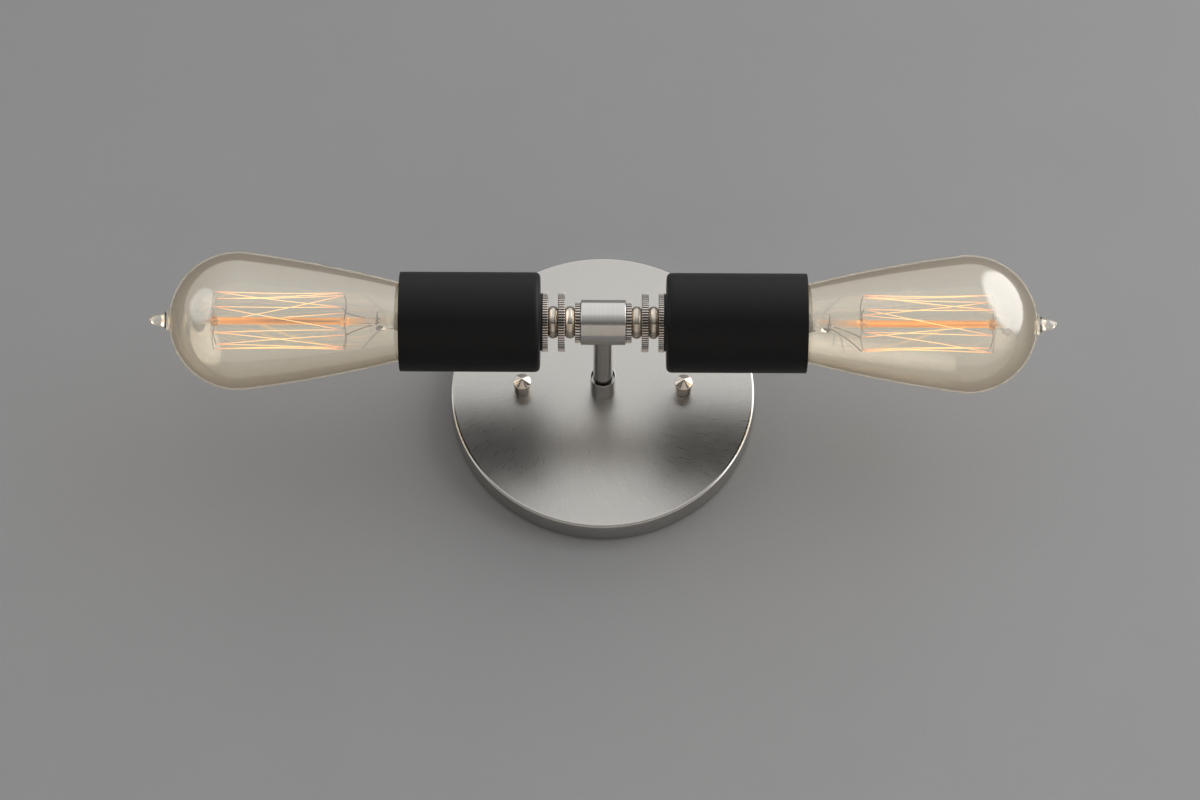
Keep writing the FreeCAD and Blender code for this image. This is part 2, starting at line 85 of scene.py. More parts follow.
# A column of shares of the way along a path, from 0 to 1
def shares(count):
    return np.linspace(0, 1, count)[:, None]


# A parabola that leaves start towards the knee: (1 - t)^2 start + 2 t (1 - t) knee + t^2 end
def curved(start, knee, end, t):
    return (1 - t) ** 2 * start + 2 * t * (1 - t) * knee + t ** 2 * end


# A closed outline of (station, radius, rounding) corners. Each corner is a short parabola between the points
# one rounding away along its two sides, with a point just outside each end that keeps the flats flat
def softened(corners, arcSteps=outlineSizes["arcSteps"]):
    s = outlineSizes
    points = []
    for i, (x, r, rounding) in enumerate(corners):
        here = np.array([x, r], float)
        if rounding <= 0:
            points.append(here)
            continue
        before = np.array(corners[i - 1][:2], float) - here
        after = np.array(corners[(i + 1) % len(corners)][:2], float) - here
        longBefore, longAfter = np.linalg.norm(before), np.linalg.norm(after)
        reach = min(rounding, s["cornerShare"] * longBefore, s["cornerShare"] * longAfter)
        a = here + before / longBefore * reach
        b = here + after / longAfter * reach
        held = reach * (1 + s["hold"])
        outerA = here + before / longBefore * min(held, s["holdShare"] * longBefore)
        outerB = here + after / longAfter * min(held, s["holdShare"] * longAfter)
        points += [outerA, *curved(a, here, b, shares(arcSteps)), outerB]
    return np.array(points)


# Points at stations x and distances r from the X axis, at each angle: (x, r cos a, r sin a)
def aroundX(x, r, angle):
    return np.stack([x + 0 * angle, r * np.cos(angle), r * np.sin(angle)], -1)


# A profile of (station, radius) points revolved about X
def turnedGrid(profile, steps):
    return aroundX(profile[:, :1], profile[:, 1:], roundAngles(steps))


# Four-cornered faces between the neighbours of a grid. Its columns close round, and its rows with wrapRows
def gridFaces(rows, columns, wrapRows):
    i = np.arange(rows if wrapRows else rows - 1)[:, None]
    j = np.arange(columns)[None, :]
    nextRow, nextColumn = (i + 1) % rows, (j + 1) % columns
    quads = [i * columns + j, i * columns + nextColumn, nextRow * columns + nextColumn, nextRow * columns + j]
    return np.stack(np.broadcast_arrays(*quads), -1).reshape(-1, 4)


mergeDistance = 1e-8  # metres


# Joins grids of points, in millimetres, into one closed mesh whose faces point outwards
def meshObject(name, grids, wrapRows=True, sharpAngle=32):
    mesh = bpy.data.meshes.new(name)
    points, faces, offset = [], [], 0
    for grid in grids:
        rows, columns = grid.shape[:2]
        points.append(grid.reshape(-1, 3))
        faces.append(gridFaces(rows, columns, wrapRows) + offset)
        offset += rows * columns
    mesh.from_pydata((np.concatenate(points) * mm).tolist(), [], np.concatenate(faces).tolist())
    built = bmesh.new()
    built.from_mesh(mesh)
    bmesh.ops.remove_doubles(built, verts=built.verts, dist=mergeDistance)
    if built.calc_volume(signed=True) < 0:
        bmesh.ops.reverse_faces(built, faces=built.faces)
    built.to_mesh(mesh)
    built.free()
    mesh.shade_smooth()
    mesh.set_sharp_from_angle(angle=math.radians(sharpAngle))
    piece = bpy.data.objects.new(name, mesh)
    bpy.context.scene.collection.objects.link(piece)
    return piece


def dress(piece, finish, body, node):
    piece.data.materials.append(finishes[finish])
    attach(piece, body)
    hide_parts(node)


# Arm coordinates to the frame's: the left arm is the right one turned half round the stem
def onArm(grid, side):
    return grid * np.array([side, 1, side]) + np.array([0, lampY, 0])


# Coordinates along X to ones that stand out from the wall, x to the side of its axis
def onWall(grid, x=0.0):
    return np.stack([grid[..., 1] + x, -grid[..., 0], grid[..., 2]], -1)


nearlyAlong = 0.9  # share of a path's direction past which it counts as running along X


# A round tube carried along a path and closed at both ends. Its circle lies square to the path, with its
# first spoke square to X too, or to Y where the path runs nearly along X
def tubeAlong(points, radius, around):
    way = np.gradient(points, axis=0)
    way /= np.linalg.norm(way, axis=1)[:, None]
    up = np.where(np.abs(way[:, :1]) < nearlyAlong, [[1.0, 0, 0]], [[0, 1.0, 0]])
    first = np.cross(way, up)
    first /= np.linalg.norm(first, axis=1)[:, None]
    second = np.cross(way, first)
    angle = roundAngles(around)
    ring = np.cos(angle)[:, None] * first[:, None] + np.sin(angle)[:, None] * second[:, None]
    start = np.repeat(points[:1, None], around, 1)
    end = np.repeat(points[-1:, None], around, 1)
    return np.concatenate([start, points[:, None] + radius * ring, end])


# A shader socket that takes part in arithmetic: each operator adds one Math node
class Value:
    def __init__(self, maker, socket):
        self.maker, self.socket = maker, socket

    def __add__(self, other):
        return self.maker.maths("ADD", self, other)

    def __radd__(self, other):
        return self.maker.maths("ADD", other, self)

    def __sub__(self, other):
        return self.maker.maths("SUBTRACT", self, other)

    def __rsub__(self, other):
        return self.maker.maths("SUBTRACT", other, self)

    def __mul__(self, other):
        return self.maker.maths("MULTIPLY", self, other)

    def __rmul__(self, other):
        return self.maker.maths("MULTIPLY", other, self)

    def __truediv__(self, other):
        return self.maker.maths("DIVIDE", self, other)

    def __pow__(self, other):
        return self.maker.maths("POWER", self, other)


# A node tree made one node at a time
class Nodes:
    def __init__(self, tree, output):
        self.tree = tree
        self.tree.nodes.clear()
        self.output = self.tree.nodes.new(output)

    # settings are set first, then each value is linked or written to its socket
    def node(self, kind, settings=None, values=None, output=0):
        made = self.tree.nodes.new(kind)
        for key, value in (settings or {}).items():
            if key == "stops":
                while len(made.color_ramp.elements) < len(value):
                    made.color_ramp.elements.new(0.5)
                for element, (place, colour) in zip(made.color_ramp.elements, value):
                    element.position, element.color = place, colour
            else:
                setattr(made, key, value)
        for key, value in (values or {}).items():
            if isinstance(value, Value):
                self.tree.links.new(value.socket, made.inputs[key])
            else:
                made.inputs[key].default_value = value
        return Value(self, made.outputs[output])

    def maths(self, operation, first, second=0.0):
        return self.node("ShaderNodeMath", {"operation": operation}, {0: first, 1: second})

    # kept between 0 and 1
    def held(self, value):
        return self.node("ShaderNodeMath", {"operation": "ADD", "use_clamp": True}, {0: value, 1: 0.0})

    def place(self):
        return self.node("ShaderNodeTexCoord", output="Object")

    def parts(self, vector):
        outputs = self.node("ShaderNodeSeparateXYZ", None, {0: vector}).socket.node.outputs
        return [Value(self, outputs[axis]) for axis in "XYZ"]

    def vector(self, x, y, z):
        return self.node("ShaderNodeCombineXYZ", None, {0: x, 1: y, 2: z})

    def stretched(self, x, y, z):
        return self.node("ShaderNodeMapping", None, {"Vector": self.place(), "Scale": (x, y, z)})

    def noise(self, vector, scale, detail=3.0, roughness=0.5):
        values = {"Vector": vector, "Scale": scale, "Detail": detail, "Roughness": roughness}
        return self.node("ShaderNodeTexNoise", None, values)

    def ramp(self, factor, stops):
        return self.node("ShaderNodeValToRGB", {"stops": stops}, {0: factor})

    def between(self, factor, a, b):
        return self.node("ShaderNodeMix", {"data_type": "RGBA"}, {0: factor, 6: a, 7: b}, 2)

    def bump(self, height, distance, strength=1.0):
        values = {"Height": height, "Strength": strength, "Distance": distance}
        return self.node("ShaderNodeBump", None, values)

    def principled(self, **values):
        values = {name.replace("_", " "): value for name, value in values.items()}
        return self.node("ShaderNodeBsdfPrincipled", None, values)

    def show(self, shader):
        self.tree.links.new(shader.socket, self.output.inputs["Surface"])


finishes = {}


def newFinish(name):
    finishes[name] = bpy.data.materials.new(name)
    finishes[name].use_nodes = True
    return Nodes(finishes[name].node_tree, "ShaderNodeOutputMaterial")


def rgb(*levels):
    return (*levels, 1.0)


def grey(level):
    return rgb(level, level, level)


discLooks = {
    "light": rgb(0.56, 0.545, 0.52), "dark": rgb(0.45, 0.435, 0.41),
    "hairTone": 0.5, "scratchTone": 0.3, "cloudTone": 0.2,  # shares of the way to dark
    "hairs": 420.0, "scratches": 135.0, "clouds": 30.0,  # how fine each noise is
    "hairLength": 0.009,  # metres along the radius
    "sideHairs": 2000.0,  # how fast the noise changes down the pan's side, per metre
    "twist": 0.38,  # radians that a hair turns while the radius grows e times
    "roughness": 0.23, "spread": 0.13,
    "hairRelief": 0.85, "scratchRelief": 0.5, "relief": 0.000014,  # two shares of a depth in metres
    "rimStart": 1.7, "rimFade": 0.5, "rimRoughness": 0.16,  # the smooth edge, in millimetres from the rim
}


# Hairlines run outwards on slow spirals. A hair keeps the value angle - twist * ln(radius), so the noise is
# read on a circle at that angle, which leaves no seam, and slowly along the radius
def canopyFinish():
    s = discLooks
    made = newFinish("brushed_nickel_disc")
    x, y, z = made.parts(made.place())
    radius = made.maths("SQRT", x * x + z * z)
    turn = made.maths("ARCTAN2", z, x) - made.maths("LOGARITHM", radius, math.e) * s["twist"]
    across, up = made.maths("COSINE", turn), made.maths("SINE", turn)
    along = radius / s["hairLength"] + y * s["sideHairs"]
    hair = made.noise(made.vector(across * s["hairs"], up * s["hairs"], along), 1.0, 3.0, 0.6)
    scratch = made.noise(made.vector(across * s["scratches"], up * s["scratches"], along), 1.0, 2.0, 0.5)
    cloud = made.noise(made.place(), s["clouds"], 3.0, 0.6)
    wander = hair * s["hairTone"] + scratch * s["scratchTone"] + cloud * s["cloudTone"]
    rimRadius = (canopyRadius - s["rimStart"]) * mm
    rim = made.held((radius - rimRadius) / (s["rimFade"] * mm))
    height = (hair * s["hairRelief"] + scratch * s["scratchRelief"]) * (1 - rim)
    roughness = (scratch * s["spread"] + s["roughness"]) * (1 - rim) + rim * s["rimRoughness"]
    made.show(made.principled(Base_Color=made.between(wander, s["light"], s["dark"]), Metallic=1.0,
                              Roughness=roughness, Normal=made.bump(height, s["relief"])))


turnedLooks = {
    "light": rgb(0.66, 0.645, 0.62), "dark": rgb(0.50, 0.485, 0.46),
    "rings": 5200.0, "bands": 1500.0,  # noise per metre along the axis, fine and broad
    "round": 90.0,  # noise per metre round it
    "ringTone": 0.6, "bandTone": 0.4, "ringRelief": 0.4,
}
teeLooks = {"axis": 0, "roughness": 0.0, "spread": 0.30, "relief": 0.00004}
stemLooks = {"axis": 1, "roughness": 0.14, "spread": 0.12, "relief": 0.000006}


# Fine rings round a turned piece: noise that changes fast along its axis and slowly round it
def turnedFinish(name, own):
    s = turnedLooks
    made = newFinish(name)
    fine, broad = [s["round"]] * 3, [s["round"] / 2] * 3
    fine[own["axis"]], broad[own["axis"]] = s["rings"], s["bands"]
    rings = made.noise(made.stretched(*fine), 1.0, 2.0, 0.6)
    bands = made.noise(made.stretched(*broad), 1.0, 2.0, 0.6)
    tone = made.between(rings * s["ringTone"] + bands * s["bandTone"], s["light"], s["dark"])
    roughness = bands * own["spread"] + own["roughness"]
    made.show(made.principled(Base_Color=tone, Metallic=1.0, Roughness=roughness,
                              Normal=made.bump(rings * s["ringRelief"] + bands, own["relief"])))


polishedLooks = {"light": rgb(0.70, 0.645, 0.57), "dark": rgb(0.56, 0.50, 0.43), "smudges": 420.0,
                 "roughness": 0.02, "spread": 0.08}


def polishedFinish():
    s = polishedLooks
    made = newFinish("polished_nickel")
    smudge = made.noise(made.place(), s["smudges"])
    tone = made.between(smudge, s["light"], s["dark"])
    made.show(made.principled(Base_Color=tone, Metallic=1.0, Roughness=smudge * s["spread"] + s["roughness"]))


knurledLooks = {
    # groove is a painted shade colour for the knurl's grooves, and the stops below say how dark that painted
    # shade is at each depth
    "light": rgb(0.80, 0.76, 0.71), "dark": rgb(0.60, 0.56, 0.52), "groove": rgb(0.13, 0.105, 0.085),
    "grooveShadeStops": ((0.0, 0.0), (0.10, 0.0), (0.32, 1.0), (0.50, 1.0), (0.75, 0.0)),  # (depth, darkness)
    "wear": 1100.0, "roughness": 0.14, "spread": 0.16, "relief": 0.00001,
}


# Nickel whose tone wanders with wear, with painted shade dark in the grooves between the crests. depth is the
# way in from the nut's radius, in millimetres, and the faces inside the teeth are bright again
def knurledFinish(name, node):
    s = knurledLooks
    made = newFinish(name)
    x, y, z = made.parts(made.place())
    across = y - lampY * mm
    reach = made.maths("SQRT", across * across + z * z)
    depth = armSpan(node)[2] - reach / mm
    # Painted shade: the grooves are darkened by their depth
    groove = made.ramp(depth, [(place, grey(level)) for place, level in s["grooveShadeStops"]])
    worn = made.noise(made.place(), s["wear"])
    tone = made.between(groove, made.between(worn, s["light"], s["dark"]), s["groove"])
    made.show(made.principled(Base_Color=tone, Metallic=1.0, Roughness=worn * s["spread"] + s["roughness"],
                              Normal=made.bump(worn, s["relief"])))


paintLooks = {"light": rgb(0.003, 0.003, 0.0032), "dark": rgb(0.0045, 0.0045, 0.005), "peel": 1500.0,
              "clouds": 60.0, "roughness": 0.40, "spread": 0.1, "specular": 0.2, "relief": 0.000004}


# Satin black with a faint orange peel
def paintFinish():
    s = paintLooks
    made = newFinish("satin_black")
    peel = made.noise(made.place(), s["peel"], 2.0)
    cloud = made.noise(made.place(), s["clouds"])
    made.show(made.principled(Base_Color=made.between(cloud, s["light"], s["dark"]),
                              Roughness=cloud * s["spread"] + s["roughness"],
                              Specular_IOR_Level=s["specular"], Normal=made.bump(peel, s["relief"])))


plainBump = 0.3
plainLooks = {
    # finish: (light, dark, metallic, roughness, its spread, noise scale, relief in metres)
    "black_washer": (grey(0.02), grey(0.03), 0.0, 0.6, 0.15, 500.0, 0.00004),
    "zinc_plate": (rgb(0.66, 0.67, 0.69), rgb(0.52, 0.53, 0.55), 1.0, 0.28, 0.2, 300.0, 0.00002),
    "green_screw": (rgb(0.04, 0.26, 0.09), rgb(0.03, 0.18, 0.07), 0.0, 0.35, 0.15, 500.0, 0.00003),
    "orange_connector": (rgb(0.80, 0.30, 0.05), rgb(0.70, 0.24, 0.04), 0.0, 0.4, 0.15, 400.0, 0.00004),
    "porcelain": (rgb(0.86, 0.84, 0.79), rgb(0.80, 0.77, 0.71), 0.0, 0.15, 0.15, 120.0, 0.0),
    "brass": (rgb(0.78, 0.58, 0.30), rgb(0.60, 0.42, 0.20), 1.0, 0.22, 0.2, 260.0, 0.00003),
    "black_insulation": (grey(0.02), grey(0.03), 0.0, 0.3, 0.15, 300.0, 0.0),
    "white_insulation": (rgb(0.84, 0.83, 0.80), rgb(0.76, 0.75, 0.71), 0.0, 0.3, 0.15, 300.0, 0.0),
    "solder": (rgb(0.62, 0.62, 0.63), rgb(0.42, 0.42, 0.44), 1.0, 0.3, 0.25, 700.0, 0.0001),
    "black_glass": (rgb(0.03, 0.02, 0.03), rgb(0.05, 0.04, 0.05), 0.0, 0.08, 0.1, 400.0, 0.0),
    "support_wire": (rgb(0.35, 0.31, 0.27), rgb(0.20, 0.17, 0.15), 1.0, 0.3, 0.2, 900.0, 0.0),
}


# A finish whose tone and roughness wander between two values
def plainFinish(name, light, dark, metallic, roughness, spread, scale, relief):
    made = newFinish(name)
    wander = made.noise(made.place(), scale, 4.0, 0.6)
    values = {"Base_Color": made.between(wander, light, dark), "Metallic": metallic,
              "Roughness": wander * spread + roughness}
    if relief:
        values["Normal"] = made.bump(wander, relief, plainBump)
    made.show(made.principled(**values))


glassLooks = {"blend": 0.45, "streakSpread": 0.5, "streakBase": 0.75, "roughness": 0.012,
              "coatRoughness": 0.02, "shadow": rgb(0.95, 0.91, 0.83)}
# paintedGlow is painted light: a faint warm glow that the glass emits, and paintedGlowFade is how fast it
# fades towards the edge
amberGlass = {"middle": rgb(0.955, 0.92, 0.835), "edge": rgb(0.62, 0.43, 0.18), "power": 1.4, "streaks": 24.0,
              "ior": 1.45, "coat": 1.0, "coatLoss": 1.0, "coatIor": 1.85, "paintedGlow": rgb(0.036, 0.034, 0.030),
              "paintedGlowFade": 2.4}
clearGlass = {"middle": rgb(0.99, 0.985, 0.965), "edge": rgb(0.90, 0.87, 0.80), "power": 1.6, "streaks": 60.0,
              "ior": 1.5}


# Glass whose colour deepens where the wall is seen edge on, and through which the lamps light what it holds.
# extras gives the values that one glass alone has, from its tone and from how edge on it is seen
def glassFinish(name, s, extras):
    made = newFinish(name)
    facing = made.node("ShaderNodeLayerWeight", None, {"Blend": glassLooks["blend"]}, "Facing")
    streak = made.noise(made.place(), s["streaks"], 2.0)
    depth = made.held(facing ** s["power"] * (streak * glassLooks["streakSpread"] + glassLooks["streakBase"]))
    tone = made.between(depth, s["middle"], s["edge"])
    values = {"Base_Color": tone, "IOR": s["ior"], "Roughness": streak * glassLooks["roughness"],
              "Transmission_Weight": 1.0, "Emission_Strength": 1.0, **extras(made, tone, depth)}
    clear = made.node("ShaderNodeBsdfTransparent", None, {"Color": glassLooks["shadow"]})
    shadow = made.node("ShaderNodeLightPath", output="Is Shadow Ray")
    made.show(made.node("ShaderNodeMixShader", None, {0: shadow, 1: made.principled(**values), 2: clear}))


# The bulb's coating dulls towards the edge, and a painted warm glow, emitted by the glass itself, fades there
def amberCoat(made, tone, depth):
    s = amberGlass
    # Painted light: the envelope emits a faint warm glow of its own, strongest where it is seen face on
    paintedGlow = made.between(made.held(depth * s["paintedGlowFade"]), s["paintedGlow"], grey(0.0))
    return {"Coat_Weight": s["coat"] * (1 - depth * s["coatLoss"]), "Coat_IOR": s["coatIor"],
            "Coat_Roughness": glassLooks["coatRoughness"], "Emission_Color": paintedGlow}


# Share of the way from the filament cage's middle, 0, to its rings of hooks, 1
def cageShare(made):
    middle = (cageSizes["outerHub"] + cageSizes["innerHub"]) / 2 * mm
    half = (cageSizes["outerHub"] - cageSizes["innerHub"]) / 2 * mm
    x, y, z = made.parts(made.place())
    return made.maths("ABSOLUTE", (made.maths("ABSOLUTE", x) - middle) / half)


# paintedLitTint and paintedPostGlow are painted light: the orange that the filament's light lays on the post
postLooks = {"paintedLitTint": rgb(0.55, 0.28, 0.08), "paintedPostGlow": rgb(0.50, 0.21, 0.03), "level": 2.6, "fall": 1.9,
             "streaks": (25.0, 1100.0, 1100.0), "contrast": 3.4, "loss": 1.0}


# Painted light on the centre post: its colour is tinted orange and it glows in streaks, standing in for the
# light of the strands round it. share is how much along its length, streaks where on it
def paintedPostLight(made, tone, depth):
    s = postLooks
    share = made.held(s["level"] - cageShare(made) * s["fall"])
    streaks = made.held(made.noise(made.stretched(*s["streaks"]), 1.0, 2.0) * s["contrast"] - s["loss"])
    # Painted light: an orange tint in the base colour and a streaked glow in the emission
    return {"Base_Color": made.between(share, tone, s["paintedLitTint"]),
            "Emission_Color": made.between(share * streaks, grey(0.0), s["paintedPostGlow"])}


glowLooks = {
    "stops": ((0.0, rgb(1.0, 0.66, 0.27)), (0.55, rgb(1.0, 0.60, 0.24)), (0.85, rgb(0.85, 0.36, 0.16)),
              (1.0, rgb(0.45, 0.17, 0.10))),
    "flicker": 260.0, "wander": 0.3, "cold": rgb(0.30, 0.12, 0.03), "roughness": 0.5, "spread": 0.2,
    "strength": 1.75,
}


# Carbon filament: yellow where it runs free, dull pink where the hooks cool it
def glowFinish():
    s = glowLooks
    made = newFinish("glowing_filament")
    flicker = made.noise(made.place(), s["flicker"], 2.0)
    heat = cageShare(made) + flicker * s["wander"] - s["wander"] / 2
    made.show(made.principled(Base_Color=s["cold"], Roughness=flicker * s["spread"] + s["roughness"],
                              Emission_Color=made.ramp(heat, s["stops"]), Emission_Strength=s["strength"]))


canopySizes = {"wall": 1.0, "edgeRound": 1.5, "rimRound": 0.25, "backRound": 0.2, "insideRound": 0.8,
               "hole": 5.1, "holeRound": 0.1, "holeFlat": 1.0, "dish": 1.0, "dishSteps": 12, "arcSteps": 9,
               "steps": 192}


# The pan's section, closed round its wall, revolved about the wall's axis. Its face is dished: it stands
# out by dish * (1 - (r / flat) ** 2) more than at its edge
def makeCanopy():
    s = canopySizes
    inner = canopyRadius - s["wall"]
    low = canopyFace - s["dish"]
    flat = canopyRadius - 2 * s["edgeRound"]
    crown = np.linspace(flat, s["hole"] + s["holeFlat"], s["dishSteps"])
    rise = s["dish"] * (1 - (crown / flat) ** 2)
    outside = [(low + up, r, 0) for up, r in zip(rise, crown)]
    inside = [(x - s["wall"], r, 0) for x, r, _ in outside[::-1]]
    section = softened([(canopyBack, inner, s["backRound"]), (canopyBack, canopyRadius, s["rimRound"]),
                        (low, canopyRadius, s["edgeRound"]), *outside,
                        (canopyFace, s["hole"], s["holeRound"]),
                        (canopyFace - s["wall"], s["hole"], s["holeRound"]), *inside,
                        (low - s["wall"], inner, s["insideRound"])], s["arcSteps"])
    piece = meshObject("canopy_pan", [onWall(turnedGrid(section, s["steps"]))])
    dress(piece, "brushed_nickel_disc", fixtureBody, "canopy")


capSizes = {"footRadius": 3.5, "footHeight": 4.4, "groove": 3.15, "grooveHeight": 0.7, "headHeight": 1.9,
            "tipRadius": 0.55, "footRound": 0.15, "footTopRound": 0.2, "grooveRound": 0.1, "headRound": 0.25,
            "coneRound": 0.3, "tipRound": 0.35, "steps": 64}


# Two turned nuts: a foot, a fine groove, a wider head and a cone that ends in a small flat
def makeCapNuts():
    s = capSizes
    low, high = nodeBox("cap_nuts")
    radius = (high[2] - low[2]) / 2
    reach = high[0] - radius
    groove = canopyFace + s["footHeight"]
    head = groove + s["grooveHeight"]
    cone = head + s["headHeight"]
    tip = -low[1]
    section = softened([(canopyFace, 0, 0), (canopyFace, s["footRadius"], s["footRound"]),
                        (groove, s["footRadius"], s["footTopRound"]), (groove, s["groove"], s["grooveRound"]),
                        (head, s["groove"], s["grooveRound"]), (head, radius, s["headRound"]),
                        (cone, radius, s["coneRound"]), (tip, s["tipRadius"], s["tipRound"]), (tip, 0, 0)])
    grids = [onWall(turnedGrid(section, s["steps"]), reach * way) for way in (-1, 1)]
    dress(meshObject("cap_nut_pair", grids), "polished_nickel", fixtureBody, "cap_nuts")


stemSizes = {"bore": 2.8, "foot": 4.0, "stemRadius": 4.2, "fineRound": 0.1, "endRound": 0.3,
             "collarBore": 5.1, "collarBoreRound": 0.05, "lip": 0.12, "steps": 96}


def makeStem():
    s = stemSizes
    start, end, footRadius = standSpan("stem_tube")
    step = start + s["foot"]
    tube = softened([(start, s["bore"], s["fineRound"]), (start, footRadius, s["endRound"]),
                     (step, footRadius, s["endRound"]), (step, s["stemRadius"], s["fineRound"]),
                     (end, s["stemRadius"], s["endRound"]), (end, s["bore"], s["fineRound"])])
    piece = meshObject("stem_rod", [onWall(turnedGrid(tube, s["steps"]))])
    dress(piece, "brushed_nickel_stem", fixtureBody, "stem_tube")
    start, end, radius = standSpan("stem_collar")
    sleeve = softened([(start, s["collarBore"], s["collarBoreRound"]), (start, radius, s["lip"]),
                       (end, radius, s["lip"]), (end, s["collarBore"], s["lip"])])
    piece = meshObject("stem_sleeve", [onWall(turnedGrid(sleeve, s["steps"]))])
    dress(piece, "brushed_nickel_stem", fixtureBody, "stem_collar")


teeSizes = {"boreRound": 0.2, "endRound": 0.55, "steps": 128}


def makeTee():
    s = teeSizes
    low, high = nodeBox("tee_body")
    radius = (high[2] - low[2]) / 2
    section = softened([(low[0], armBore, s["boreRound"]), (low[0], radius, s["endRound"]),
                        (high[0], radius, s["endRound"]), (high[0], armBore, s["boreRound"])])
    piece = meshObject("tee_barrel", [onArm(turnedGrid(section, s["steps"]), 1)])
    dress(piece, "brushed_nickel_tee", fixtureBody, "tee_body")


nutSizes = {"toothDepth": 0.45, "chamfer": 0.45, "boreRound": 0.1, "arcSteps": 5, "pointsPerTooth": 8,
            "crestShare": 0.5, "flankHeight": 0.9, "teeth": 68, "smallTeeth": 40}


# A nut's section revolved, with its outer radius lowered by a rounded wave that has one crest for each tooth
def knurledGrid(start, end, radius, teeth):
    s = nutSizes
    section = softened([(start, armBore, s["boreRound"]), (start, radius, s["chamfer"]),
                        (end, radius, s["chamfer"]), (end, armBore, s["boreRound"])], s["arcSteps"])
    angle = roundAngles(teeth * s["pointsPerTooth"])
    wave = np.clip(s["crestShare"] + s["flankHeight"] * np.cos(teeth * angle), 0, 1)
    x, r = section[:, :1], section[:, 1:]
    share = np.clip((r - radius + 2 * s["toothDepth"]) / (2 * s["toothDepth"]), 0, 1)
    return aroundX(x, r - s["toothDepth"] * share * (1 - wave), angle)


def makeKnurledNuts(word, side):
    for node, teeth, finish in (("small_knurled_nut", nutSizes["smallTeeth"], "knurled_nickel_small"),
                                ("inner_knurled_nut", nutSizes["teeth"], "knurled_nickel_large"),
                                ("outer_knurled_nut", nutSizes["teeth"], "knurled_nickel_large")):
        start, end, radius = armSpan(node)
        piece = meshObject(node + "_turned_" + word, [onArm(knurledGrid(start, end, radius, teeth), side)])
        dress(piece, finish, fixtureBody, node + "_" + word)


beadSizes = {"endRadius": 5.3, "crownSteps": 28, "steps": 96}


# A bead's outline is half an ellipse from one flat end to the other
def makeBeads(word, side):
    s = beadSizes
    angle = np.linspace(math.pi, 0, s["crownSteps"])
    for node in ("inner_bead", "outer_bead"):
        start, end, radius = armSpan(node)
        x = (start + end) / 2 + (end - start) / 2 * np.cos(angle)
        r = s["endRadius"] + (radius - s["endRadius"]) * np.sin(angle)
        section = np.concatenate([[[start, armBore]], np.stack([x, r], -1), [[end, armBore]]])
        piece = meshObject(node + "_turned_" + word, [onArm(turnedGrid(section, s["steps"]), side)])
        dress(piece, "polished_nickel", fixtureBody, node + "_" + word)


cupSizes = {"wall": 1.2, "endRound": 2.6, "rimRound": 0.45, "boreRound": 0.1, "insideRound": 1.5,
            "arcSteps": 10, "washerRound": 0.1, "washerBoreRound": 0.05, "washerArcSteps": 3, "steps": 144}


def makeCup(word, side):
    s = cupSizes
    start, end, radius = armSpan("socket_cup")
    inner = radius - s["wall"]
    floor = start + s["wall"]
    section = softened([(start, armBore, s["boreRound"]), (start, radius, s["endRound"]),
                        (end, radius, s["rimRound"]), (end, inner, s["rimRound"]),
                        (floor, inner, s["insideRound"]), (floor, armBore, s["boreRound"])], s["arcSteps"])
    piece = meshObject("cup_shell_" + word, [onArm(turnedGrid(section, s["steps"]), side)])
    dress(piece, "satin_black", fixtureBody, "socket_cup_" + word)
    start, end, radius = armSpan("cup_washer")
    flat = softened([(start, armBore, s["washerBoreRound"]), (start, radius, s["washerRound"]),
                     (end, radius, s["washerRound"]), (end, armBore, s["washerBoreRound"])],
                    s["washerArcSteps"])
    piece = meshObject("cup_washer_disc_" + word, [onArm(turnedGrid(flat, s["steps"]), side)])
    dress(piece, "black_washer", fixtureBody, "cup_washer_" + word)


bulbSizes = {
    "wall": 0.8, "neckRadius": 12.3, "neckEnd": 0.6, "footRadius": 13.5, "footPast": 1.2, "domeRadius": 29.2,
    "domeCentre": 153.6, "shoulder": 7.5,  # degrees back from the widest place
    "tipFoot": 5.4, "tipWaist": 2.2, "waistPlace": 3.4, "kneeOut": 1.6, "kneeIn": 0.6, "tipEnd": 1.1,
    "tipSwell": 0.55, "taperSteps": 40, "domeSteps": 48, "tipSteps": 14, "steps": 160,
}


def arcPoints(centre, radius, fromAngle, toAngle, count):
    angle = np.linspace(fromAngle, toAngle, count)
    return np.stack([centre[0] + radius * np.cos(angle), centre[1] + radius * np.sin(angle)], -1)


# From the neck: a long arc that is tangent to the dome's circle, then the dome up to tipFoot from the axis
def bulbOutline(inset, skirtEnd, tipFoot):
    s = bulbSizes
    back = math.radians(s["shoulder"])
    away = np.array([-math.sin(back), math.cos(back)])
    centre = np.array([s["domeCentre"], 0.0])
    foot = np.array([skirtEnd + s["footPast"], s["footRadius"]])
    gap = foot - centre - away * s["domeRadius"]
    longRadius = -gap @ gap / (2 * gap @ away)
    longCentre = centre + away * (s["domeRadius"] - longRadius)
    first = math.atan2(*(foot - longCentre)[::-1])
    last = math.atan2(away[1], away[0])
    taper = arcPoints(longCentre, longRadius - inset, first, last, s["taperSteps"])
    end = math.asin(tipFoot / s["domeRadius"])
    dome = arcPoints(centre, s["domeRadius"] - inset, last, end, s["domeSteps"])
    return taper, dome[1:]


